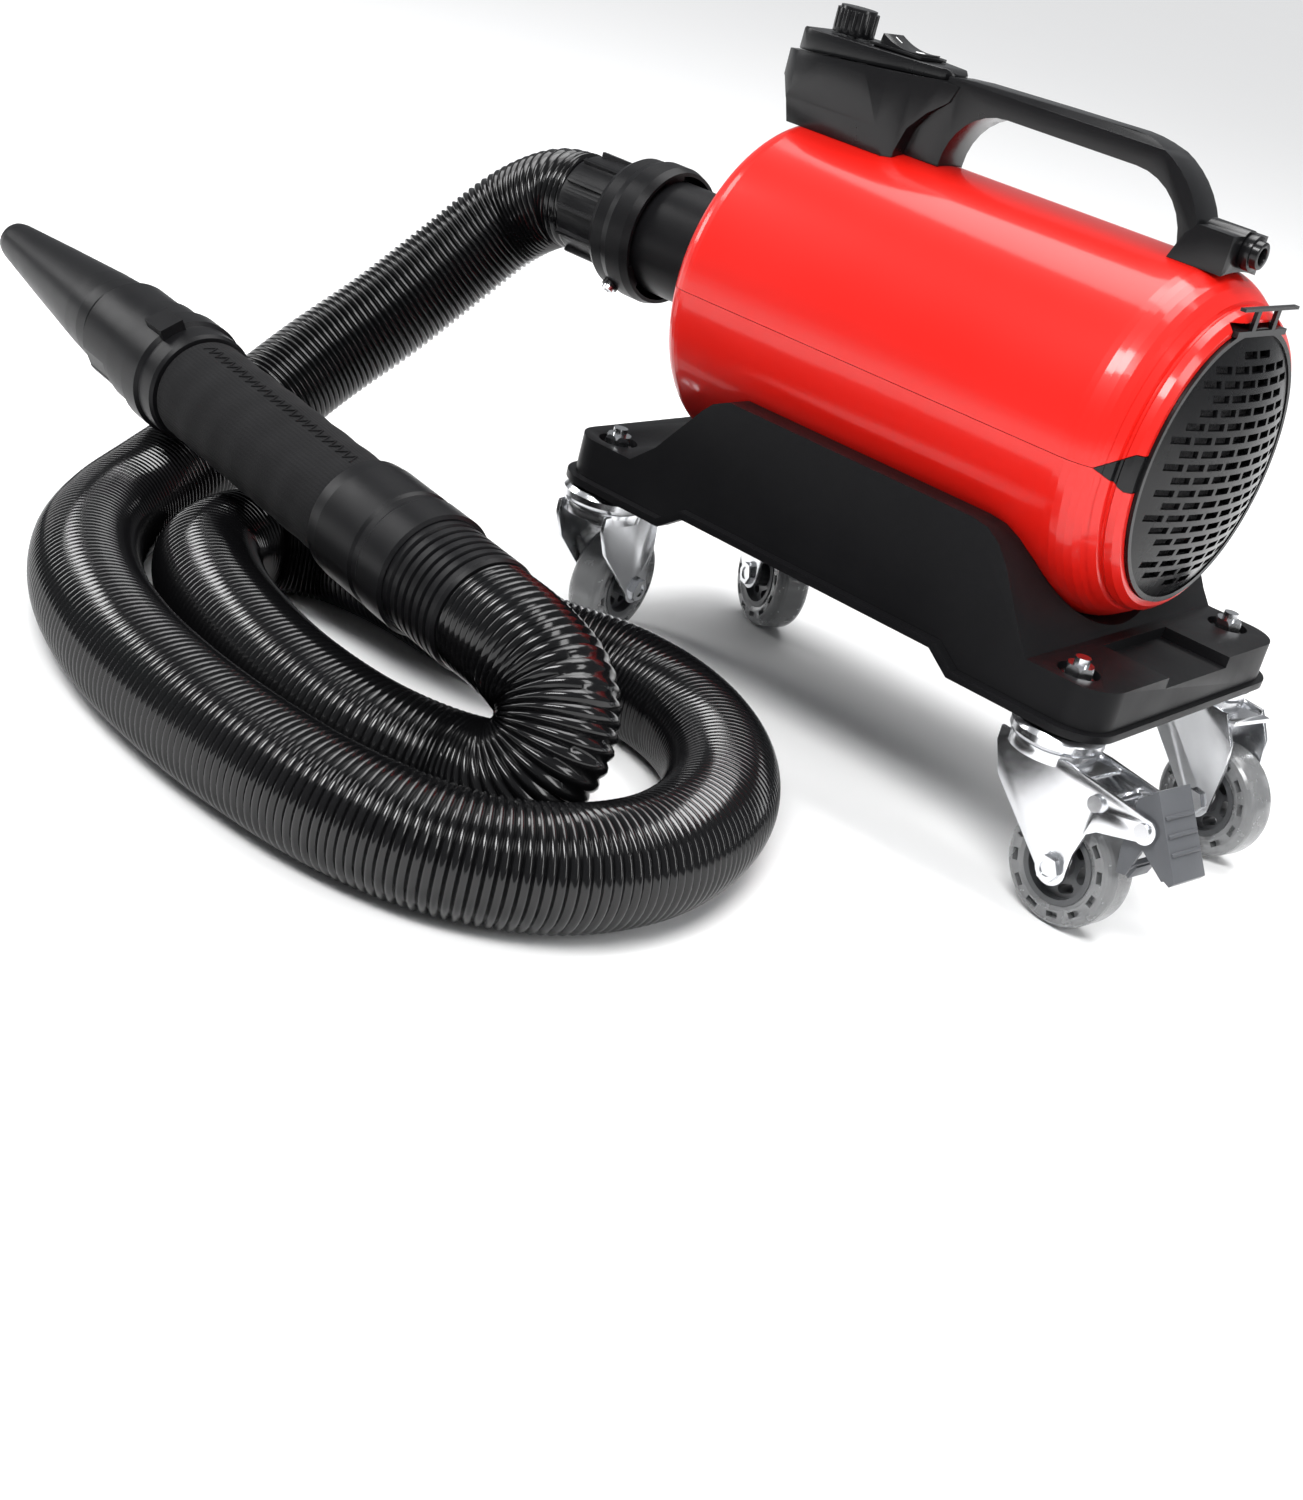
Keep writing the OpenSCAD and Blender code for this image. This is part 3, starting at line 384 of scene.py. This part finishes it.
# Corners closer than this are one corner, faces flatter than this are one face, and edges
# sharper than this are rounded.
SAME_CORNER = 0.00002
SAME_FACE = math.radians(0.4)
SHARP_EDGE = math.radians(32)


def softened(node, name, width, steps):
    """A copy of a moulded node with its edges rounded, which stands for the node."""
    source = NODES[node]
    body = source["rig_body"]
    pick(source)
    bpy.ops.object.duplicate()
    piece = bpy.context.view_layer.objects.active
    for key in [k for k in piece.keys() if k.startswith("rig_")]:
        del piece[key]
    piece.name = name
    piece.data.name = name
    piece.parent = None
    pick(piece)
    bpy.ops.object.mode_set(mode="EDIT")
    bpy.ops.mesh.select_all(action="SELECT")
    bpy.ops.mesh.remove_doubles(threshold=SAME_CORNER)
    bpy.ops.mesh.dissolve_limited(angle_limit=SAME_FACE)
    bpy.ops.object.mode_set(mode="OBJECT")
    rounding = piece.modifiers.new("rounding", "BEVEL")
    rounding.width = width
    rounding.segments = steps
    rounding.limit_method = "ANGLE"
    rounding.angle_limit = SHARP_EDGE
    bpy.ops.object.modifier_apply(modifier="rounding")
    finish_piece(piece, body, slot_of(node), 30)
    stand_for(node, piece)


# ------------------------------------------------------------------ hose
HOSE_POINTS = [
    (-281, 0, 217), (-304, -2, 213), (-329, -11, 193), (-348, -35, 158), (-362, -68, 122),
    (-373, -106, 90), (-373, -149, 62), (-363, -194, 43), (-347, -240, 32), (-323, -284, 29),
    (-288, -325, 29), (-241, -358, 29), (-186, -380, 29), (-128, -391, 29), (-70, -394, 29),
    (-14, -389, 29), (34, -371, 29), (66, -338, 29), (79, -294, 29), (74, -249, 29),
    (56, -208, 29), (25, -174, 29), (-16, -153, 29), (-62, -150, 29), (-108, -168, 29),
    (-156, -179, 29), (-204, -180, 29), (-247, -192, 29), (-271, -226, 29), (-258, -268, 29),
    (-218, -297, 29), (-168, -317, 29), (-114, -329, 29), (-60, -330, 29), (-16, -318, 30),
    (11, -312, 39), (21, -302, 59), (11, -293, 79), (-15, -289, 88), (-47, -284, 90),
]
HOSE_ROUTE = [here(*p) for p in HOSE_POINTS]


def route_point(i):
    last = len(HOSE_ROUTE) - 1
    if i < 0:
        return 2 * HOSE_ROUTE[0] - HOSE_ROUTE[1]
    if i > last:
        return 2 * HOSE_ROUTE[last] - HOSE_ROUTE[last - 1]
    return HOSE_ROUTE[i]


def route_curve(i, t):
    a, b, c, d = (route_point(i + k) for k in (-1, 0, 1, 2))
    return 0.5 * (2 * b + (c - a) * t + (2 * a - 5 * b + 4 * c - d) * t * t
                  + (3 * b - a - 3 * c + d) * t ** 3)


def route_line(steps=24):
    """The hose's centre line, smooth through its route's points."""
    line = [route_curve(i, k / steps) for i in range(len(HOSE_ROUTE) - 1) for k in range(steps)]
    return line + [HOSE_ROUTE[-1]]


def even_line(line, gap):
    """The line's points again, an equal distance apart, and its length."""
    lengths = [0.0]
    for a, b in zip(line, line[1:]):
        lengths.append(lengths[-1] + (b - a).length)
    total = lengths[-1]
    count = max(2, round(total / gap))
    out, j = [], 0
    for k in range(count + 1):
        s = total * k / count
        while j < len(lengths) - 2 and lengths[j + 1] < s:
            j += 1
        step = lengths[j + 1] - lengths[j]
        out.append(line[j].lerp(line[j + 1], (s - lengths[j]) / step if step else 0))
    return out, total


def swept(name, centres, radii, sides, side_up=Vector((0, 0, 1))):
    """A closed tube along the centres, one radius a ring."""
    points, faces = [], []
    n = len(centres)
    for i, at in enumerate(centres):
        along = (centres[min(i + 1, n - 1)] - centres[max(i - 1, 0)]).normalized()
        across = along.cross(side_up).normalized()
        up = across.cross(along)
        for k in range(sides):
            a = 2 * math.pi * k / sides
            points.append(at + radii[i] * (across * math.cos(a) + up * math.sin(a)))
    for i in range(n - 1):
        for k in range(sides):
            a, b = i * sides + k, i * sides + (k + 1) % sides
            faces.append((a, a + sides, b + sides, b))
    faces.append(tuple(range(sides)))
    faces.append(tuple((n - 1) * sides + k for k in reversed(range(sides))))
    return mesh_piece(name, points, faces)


class DRYER_OT_hose(bpy.types.Operator):
    """Make the ribbed hose, from the cuff at the outlet to the wand"""
    bl_idname = "dryer.hose"
    bl_label = "Hose"

    def execute(self, context):
        s = context.scene.dryer_hose
        line = route_line()
        # Each rib is a valley, a steep side, a round crest and a steep side.
        profile = (0.0, 0.72, 1.0, 0.72)
        gap = s.pitch / len(profile)
        centres, total = even_line(line, gap)
        crest = s.outside / 2
        radii = [crest - s.depth * (1 - profile[i % len(profile)]) for i in range(len(centres))]
        piece = swept("hose_ribbed", centres, radii, s.sides)
        face_out(piece)
        finish_piece(piece, "dryer", "hose_black", 75)
        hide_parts("hose_tube")
        return {"FINISHED"}


# ------------------------------------------------------------------ stage
# Where the camera stands, and its right and up.
EYE = here(559.0, -994.6, 466.4)
EYE_RIGHT = Vector((0.7326, 0.6394, 0.2331))
EYE_UP = Vector((-0.4376, 0.1802, 0.8810))


class DRYER_OT_stage(bpy.types.Operator):
    """Set up the floor, the lights and the camera"""
    bl_idname = "dryer.stage"
    bl_label = "Stage"

    def execute(self, context):
        s = context.scene.dryer_stage
        camera = bpy.data.cameras.new("camera")
        camera.lens = s.lens
        camera.sensor_width = 36
        eye = bpy.data.objects.new("camera", camera)
        back = EYE_RIGHT.cross(EYE_UP).normalized()
        up = back.cross(EYE_RIGHT).normalized()
        turn = Matrix((EYE_RIGHT.normalized(), up, back)).transposed().to_4x4()
        eye.matrix_world = Matrix.Translation(EYE) @ turn
        context.scene.collection.objects.link(eye)
        context.scene.camera = eye

        drop_selection()
        bpy.ops.mesh.primitive_plane_add(size=s.floor, location=(0, 0, 0))
        floor = context.active_object
        floor.name = "floor"
        bpy.ops.object.mode_set(mode="EDIT")
        bpy.ops.mesh.select_all(action="SELECT")
        bpy.ops.mesh.subdivide(number_cuts=4)
        bpy.ops.object.mode_set(mode="OBJECT")
        floor.data.materials.append(self.floor_finish())

        world = context.scene.world or bpy.data.worlds.new("studio")
        context.scene.world = world
        world.use_nodes = True
        nodes = world.node_tree.nodes
        ground = nodes.get("Background") or nodes.new("ShaderNodeBackground")
        ground.inputs["Color"].default_value = (0.9, 0.92, 0.95, 1)
        ground.inputs["Strength"].default_value = 0.3

        # A plain transfer curve keeps the lacquer's red and the plastic's black as deep as they are.
        context.scene.view_settings.view_transform = "Standard"

        self.softbox("key", (0.35, -1.5, 2.0), (0, -0.05, 0.2), 1.5, 0.6, 60)
        self.softbox("top", (0.1, 0.5, 2.3), (0, 0, 0.1), 1.6, 1.0, 22)
        self.softbox("left", (-1.9, -0.7, 1.2), (-0.1, -0.1, 0.15), 0.5, 1.5, 20)
        self.softbox("right", (2.0, 0.1, 1.1), (0.1, 0, 0.15), 0.5, 1.4, 18)
        day = bpy.data.lights.new("day", "SUN")
        day.energy = 2.1
        day.angle = math.radians(50)
        high = bpy.data.objects.new("day", day)
        high.matrix_world = Vector((-0.2, 0.4, 1)).to_track_quat("Z", "Y").to_matrix().to_4x4()
        context.scene.collection.objects.link(high)
        return {"FINISHED"}

    def floor_finish(self):
        m, nodes, links, shader = new_material("pale_floor")
        cloud = noise(nodes, links, coords(nodes, links), 0.4, 2)
        links.new(tint(nodes, links, cloud, (0.84, 0.84, 0.84, 1), (0.86, 0.86, 0.86, 1)),
                  shader.inputs["Base Color"])
        shader.inputs["Roughness"].default_value = 0.9
        shader.inputs["Specular IOR Level"].default_value = 0.1
        return m

    def softbox(self, name, place, aim, wide, high, power):
        data = bpy.data.lights.new(name, "AREA")
        data.shape = "RECTANGLE"
        data.size = wide
        data.size_y = high
        data.energy = power
        lamp = bpy.data.objects.new(name, data)
        away = (Vector(place) - Vector(aim)).to_track_quat("Z", "Y")
        lamp.matrix_world = Matrix.Translation(place) @ away.to_matrix().to_4x4()
        bpy.context.scene.collection.objects.link(lamp)


# ------------------------------------------------------------------ wand
WAND_START = here(-47, -284, 90)
WAND_TIP = here(-545, -206, 110)
WAND_DIR = (WAND_TIP - WAND_START).normalized()
WAND_UP = WAND_DIR.cross(Vector((0, 0, 1))).cross(WAND_DIR)
WAND_TURN = WAND_DIR.to_track_quat("Z", "Y").to_matrix().to_4x4()
SLEEVE_RADIUS = 0.0285


def lathe(name, outline, steps, wave):
    """A turned ring about Z from a closed outline of (radius, height) points, each moved by the wave."""
    points, faces, uvs = [], [], []
    n = len(outline)
    for k in range(steps):
        a = 2 * math.pi * k / steps
        for r, z in outline:
            extra = wave(a, z)
            points.append(((r + extra) * math.cos(a), (r + extra) * math.sin(a), z))
    for k in range(steps):
        for i in range(n):
            j = (i + 1) % n
            a, b = k * n, ((k + 1) % steps) * n
            faces.append((a + i, b + i, b + j, a + j))
    piece = mesh_piece(name, points, faces)
    layer = piece.data.uv_layers.new(name="cloth")
    for poly in piece.data.polygons:
        row = poly.index // n
        for loop in poly.loop_indices:
            vert = piece.data.loops[loop].vertex_index
            turn = row if vert // n == row else row + 1
            z = outline[vert % n][1]
            layer.data[loop].uv = (turn / steps * 2 * math.pi * SLEEVE_RADIUS, z)
    return piece


class DRYER_OT_sleeve(bpy.types.Operator):
    """Make the stretch sleeve on the wand, with its zig-zag seam"""
    bl_idname = "dryer.sleeve"
    bl_label = "Sleeve"

    # How far along the wand the sleeve starts, how long it is, and which way its seam looks.
    start = 0.1103
    length = 0.1606
    seam_turn = math.radians(78)

    def fold(self, angle, z):
        """Slight waves where the sleeve grips its pipe, fading out at the ends."""
        ends = min(z, self.length - z) / 0.02
        calm = max(0.0, min(1.0, ends))
        ripple = math.sin(z * 260 + 2.2 * math.sin(angle)) * 0.00022
        dent = 0.0005 * math.exp(-(self.seam_gap(angle) / 0.09) ** 2)
        return calm * ripple - calm * dent

    def seam_gap(self, angle):
        """The angle from the seam, between minus and plus half a turn."""
        return (angle - self.seam_turn + math.pi) % (2 * math.pi) - math.pi

    def execute(self, context):
        r, length, rows = SLEEVE_RADIUS, self.length, 60
        inside = r - 0.0033
        outer = [(r, 0.002 + (length - 0.004) * i / rows) for i in range(rows + 1)]
        outline = ([(inside, 0.0), (r - 0.0012, 0.0), (r - 0.0003, 0.0007)] + outer
                   + [(r - 0.0003, length - 0.0007), (r - 0.0012, length), (inside, length)])
        sleeve = lathe("sleeve_cloth", outline, 96, self.fold)
        face_out(sleeve)
        place = Matrix.Translation(WAND_START + WAND_DIR * self.start) @ WAND_TURN
        sleeve.matrix_world = place
        settle(sleeve)
        finish_piece(sleeve, "dryer", "neoprene", 40)
        stand_for("wand_sleeve", sleeve)

        # The seam: one zig-zag thread that crosses the joint every few millimetres.
        thread = []
        pitch, half = 0.0032, 0.0032
        count = int((length - 0.012) / pitch)
        for i in range(count + 1):
            z = 0.006 + pitch * i
            across = half if i % 2 else -half
            a = self.seam_turn + across / r
            lift = r + self.fold(a, z) + 0.00035
            thread.append(place @ Vector((lift * math.cos(a), lift * math.sin(a), z)))
        line, _ = even_line(thread, 0.0008)
        seam = swept("sleeve_seam", line, [0.00042] * len(line), 6, WAND_UP)
        face_out(seam)
        finish_piece(seam, "dryer", "neoprene", 60)
        STAND_INS["wand_sleeve"].append(seam)
        return {"FINISHED"}


# ------------------------------------------------------------------ casing
class DRYER_OT_casing(bpy.types.Operator):
    """Round the edges of the handle, its plate, the deck and the outlet fittings"""
    bl_idname = "dryer.casing"
    bl_label = "Casing"

    rounded = (
        ("handle", "handle_moulding", 0.0022, 3),
        ("switch_plate", "control_plate", 0.0012, 3),
        ("rocker_bezel", "switch_frame", 0.0004, 2),
        ("power_rocker", "switch_rocker", 0.0006, 2),
        ("speed_knob", "knob_cap", 0.0005, 2),
        ("cable_gland", "gland_nut", 0.0006, 2),
        ("deck", "deck_moulding", 0.0018, 3),
        ("hose_cuff", "cuff_ribbed", 0.0006, 2),
        ("brake_pedal", "pedal_plate", 0.0005, 2),
        ("fork_front_right", "fork_steel_front_right", 0.0004, 2),
        ("fork_back_right", "fork_steel_back_right", 0.0004, 2),
        ("fork_back_left", "fork_steel_back_left", 0.0004, 2),
        ("fork_front_left", "fork_steel_front_left", 0.0004, 2),
    )

    def execute(self, context):
        for node, name, width, steps in self.rounded:
            softened(node, name, width, steps)
        return {"FINISHED"}


class DRYER_OT_pedal(bpy.types.Operator):
    """Mould the raised grip lines on the brake pedal's cover"""
    bl_idname = "dryer.pedal"
    bl_label = "Pedal lines"

    # The braked caster's stem and heading, and the pedal's sloping face from its top to its toe,
    # in that caster's own frame.
    stem = here(153.5, -81.5, 0)
    heading = math.radians(-7)
    top = Vector((69.5, 0, 94)) * MM
    toe = Vector((93.5, 0, 57.5)) * MM

    def execute(self, context):
        caster = Matrix.Translation(self.stem) @ Matrix.Rotation(self.heading, 4, "Z")
        drop_selection()
        bars = []
        for share in (0.3, 0.5, 0.7):
            bpy.ops.mesh.primitive_cylinder_add(vertices=20, radius=0.0011, depth=0.0236,
                                                location=self.top.lerp(self.toe, share),
                                                rotation=(math.pi / 2, 0, 0))
            bar = context.active_object
            bpy.ops.object.mode_set(mode="EDIT")
            bpy.ops.mesh.select_all(action="SELECT")
            bpy.ops.mesh.bevel(offset=0.0003, segments=2)
            bpy.ops.object.mode_set(mode="OBJECT")
            bars.append(bar)
        drop_selection()
        for bar in bars:
            bar.select_set(True)
        context.view_layer.objects.active = bars[0]
        bpy.ops.object.join()
        lines = context.active_object
        lines.name = "pedal_lines"
        settle(lines)
        lines.matrix_world = caster
        settle(lines)
        finish_piece(lines, "pedal", "pedal_grey")
        return {"FINISHED"}


class DRYER_OT_marks(bpy.types.Operator):
    """Print the on and off marks on the rocker"""
    bl_idname = "dryer.marks"
    bl_label = "Switch marks"

    # How far along the machine the two marks stand.
    on_mark = -97.5
    off_mark = -82.5

    def face_at(self, x):
        """Where the rocker's top is at x, and a turn that lays a flat mark on it."""
        data = NODES["power_rocker"].data
        top = BVHTree.FromPolygons([v.co for v in data.vertices],
                                   [tuple(f.vertices) for f in data.polygons])
        place, normal, _, _ = top.ray_cast(here(x, 0, 400), Vector((0, 0, -1)))
        if place is None:
            raise RuntimeError("the rocker isn't under its mark")
        across = Vector((0, 1, 0))
        along = across.cross(normal).normalized()
        return Matrix.Translation(place) @ Matrix((along, across, normal)).transposed().to_4x4()

    def execute(self, context):
        drop_selection()
        bpy.ops.mesh.primitive_cube_add(size=1, location=(0, 0, 0))
        bar = context.active_object
        bar.name = "mark_on"
        bar.scale = (0.0052, 0.0009, 0.0003)
        settle(bar)
        bpy.ops.object.mode_set(mode="EDIT")
        bpy.ops.mesh.select_all(action="SELECT")
        bpy.ops.mesh.bevel(offset=0.0001, segments=2)
        bpy.ops.object.mode_set(mode="OBJECT")
        bar.matrix_world = self.face_at(self.on_mark)
        settle(bar)
        finish_piece(bar, "rocker", "mark_white")
        drop_selection()
        bpy.ops.mesh.primitive_torus_add(major_radius=0.0022, minor_radius=0.0004,
                                         major_segments=32, minor_segments=8, location=(0, 0, 0))
        ring = context.active_object
        ring.name = "mark_off"
        ring.scale = (1, 1, 0.5)
        settle(ring)
        ring.matrix_world = self.face_at(self.off_mark)
        settle(ring)
        finish_piece(ring, "rocker", "mark_white")
        return {"FINISHED"}


class DRYER_OT_finishes(bpy.types.Operator):
    """Give every remaining part its finish"""
    bl_idname = "dryer.finishes"
    bl_label = "Finishes"

    def execute(self, context):
        for node, obj in NODES.items():
            obj.data.materials.clear()
            obj.data.materials.append(FINISH[slot_of(node)])
        return {"FINISHED"}


# ------------------------------------------------------------------ panel
class DRYER_PT_panel(bpy.types.Panel):
    """Settings and steps of the dryer"""
    bl_idname = "DRYER_PT_panel"
    bl_label = "Pet dryer"
    bl_space_type = "VIEW_3D"
    bl_region_type = "UI"
    bl_category = "Dryer"

    def draw(self, context):
        layout = self.layout
        for group in (context.scene.dryer_hose, context.scene.dryer_colours, context.scene.dryer_stage):
            for key in group.__annotations__:
                layout.prop(group, key)
        for step in STEPS:
            layout.operator(step.bl_idname)


# The finishes come before the pieces that copy a node, and the hose after those that it carries.
STEPS = (DRYER_OT_stage, DRYER_OT_finishes, DRYER_OT_casing, DRYER_OT_sleeve, DRYER_OT_hose,
         DRYER_OT_pedal, DRYER_OT_marks)
CLASSES = (DryerHose, DryerColours, DryerStage) + STEPS + (DRYER_PT_panel,)


def register():
    for c in CLASSES:
        bpy.utils.register_class(c)
    bpy.types.Scene.dryer_hose = PointerProperty(type=DryerHose)
    bpy.types.Scene.dryer_colours = PointerProperty(type=DryerColours)
    bpy.types.Scene.dryer_stage = PointerProperty(type=DryerStage)


def unregister():
    del bpy.types.Scene.dryer_hose
    del bpy.types.Scene.dryer_colours
    del bpy.types.Scene.dryer_stage
    for c in reversed(CLASSES):
        bpy.utils.unregister_class(c)


def main():
    register()
    make_finishes(bpy.context.scene.dryer_colours)
    for step in STEPS:
        group, name = step.bl_idname.split(".")
        getattr(getattr(bpy.ops, group), name)()
    drop_selection()


if __name__ == "__main__":
    main()
